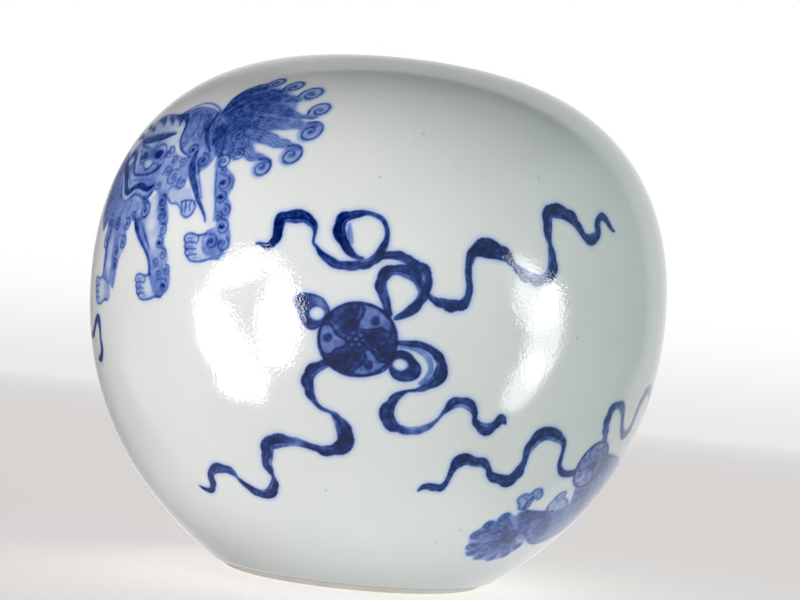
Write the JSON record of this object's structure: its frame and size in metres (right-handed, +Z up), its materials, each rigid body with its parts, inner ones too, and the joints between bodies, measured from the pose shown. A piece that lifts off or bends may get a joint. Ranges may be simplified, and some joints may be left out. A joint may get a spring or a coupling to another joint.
{
  "type": "calligraphy water pot",
  "caption": "Apple-shaped closed porcelain pot with a small sunken mouth and a recessed foot, glazed and painted in underglaze blue, which holds water for grinding ink",
  "frame": {"origin": "centre of the foot's resting face, on the pot's axis", "axes": "+Z up along the axis of the turned body; -Y faces the side with the ball between two lions that the picture shows"},
  "size_m": [0.075, 0.075, 0.0651],
  "materials": {
    "bare_porcelain": "unglazed fired porcelain, fine and dry, faintly warm white",
    "luting_slip": "fired porcelain slip",
    "painted_glaze": "glossy pale bluish-white porcelain glaze over cobalt painting of lions and brocade balls",
    "clear_glaze": "glossy pale bluish-white porcelain glaze"
  },
  "bodies": {
    "root": {"foot_ring": "bare_porcelain", "lower_body": "bare_porcelain", "upper_body": "bare_porcelain", "mouth_rim": "bare_porcelain", "luting_band": "luting_slip", "outer_glaze": "painted_glaze", "inner_glaze": "clear_glaze", "base_glaze": "clear_glaze"}
  },
  "joints": []
}
